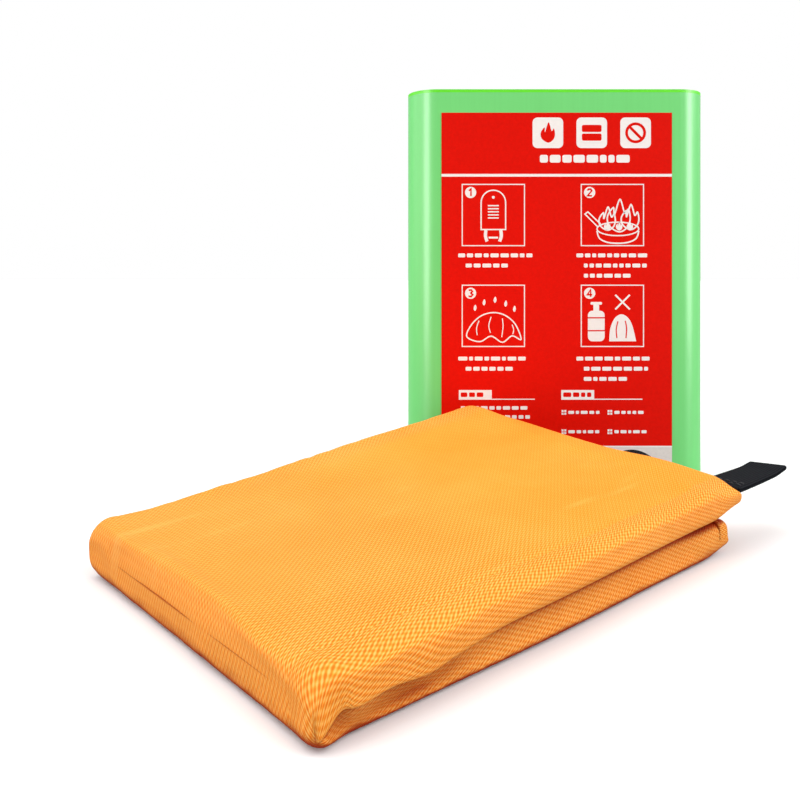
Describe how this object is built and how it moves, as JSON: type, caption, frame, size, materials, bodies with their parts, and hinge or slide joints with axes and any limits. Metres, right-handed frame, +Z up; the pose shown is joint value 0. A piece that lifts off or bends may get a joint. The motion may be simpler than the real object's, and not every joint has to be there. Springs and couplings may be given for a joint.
{
  "type": "fire blanket",
  "caption": "Folded orange fire blanket with black pull tapes, lying in front of its upright green wall case with a red pictogram label.",
  "frame": {"origin": "centre of the wall case's bottom rim, on the floor plane", "axes": "+Z up along the upright case, -Y out of the case's printed front, +X to the right seen from the front; the blanket pack lies in front of the case, turned 40.5 degrees"},
  "size_m": [0.3347, 0.3291, 0.249],
  "materials": {
    "green_shell": "satin",
    "green_cap": "gloss",
    "label_red": "satin",
    "orange_cloth": "matte",
    "orange_thread": "matte",
    "black_webbing": "matte",
    "grey_thread": "matte"
  },
  "bodies": {
    "wall_case": {"case_sleeve": "green_shell", "front_label": "label_red"},
    "cap": {"top_cap": "green_cap"},
    "lower_half": {"blanket_lower_half": "orange_cloth", "lower_hem": "orange_cloth", "lower_hem_stitching": "orange_thread"},
    "upper_half": {"blanket_upper_half": "orange_cloth", "upper_hem": "orange_cloth", "upper_hem_stitching": "orange_thread"},
    "right_tape": {"pull_tape_right": "black_webbing", "right_tape_stitching": "grey_thread"},
    "left_tape": {"pull_tape_left": "black_webbing", "left_tape_stitching": "grey_thread"}
  },
  "joints": [
    {"name": "cap_lift", "type": "slide", "parent": "wall_case", "child": "cap", "axis": [0, 0, 1], "range_m": [0, 0.03]},
    {"name": "blanket_lift", "type": "slide", "parent": "wall_case", "child": "lower_half", "axis": [0, 0, 1], "range_m": [0, 0.25]},
    {"name": "fold_open", "type": "hinge", "parent": "lower_half", "child": "upper_half", "pos_m": [-0.18145, -0.2453, 0.012], "axis": [0.6494, -0.7604, 0], "range_deg": [0, 176]},
    {"name": "right_tape_swing", "type": "hinge", "parent": "upper_half", "child": "right_tape", "pos_m": [0.05367, -0.14181, 0.029], "axis": [0.6494, -0.7604, 0], "range_deg": [-35, 85]},
    {"name": "left_tape_swing", "type": "hinge", "parent": "lower_half", "child": "left_tape", "pos_m": [0.01815, -0.10639, 0.011], "axis": [0.6494, -0.7604, 0], "range_deg": [-25, 5]}
  ]
}
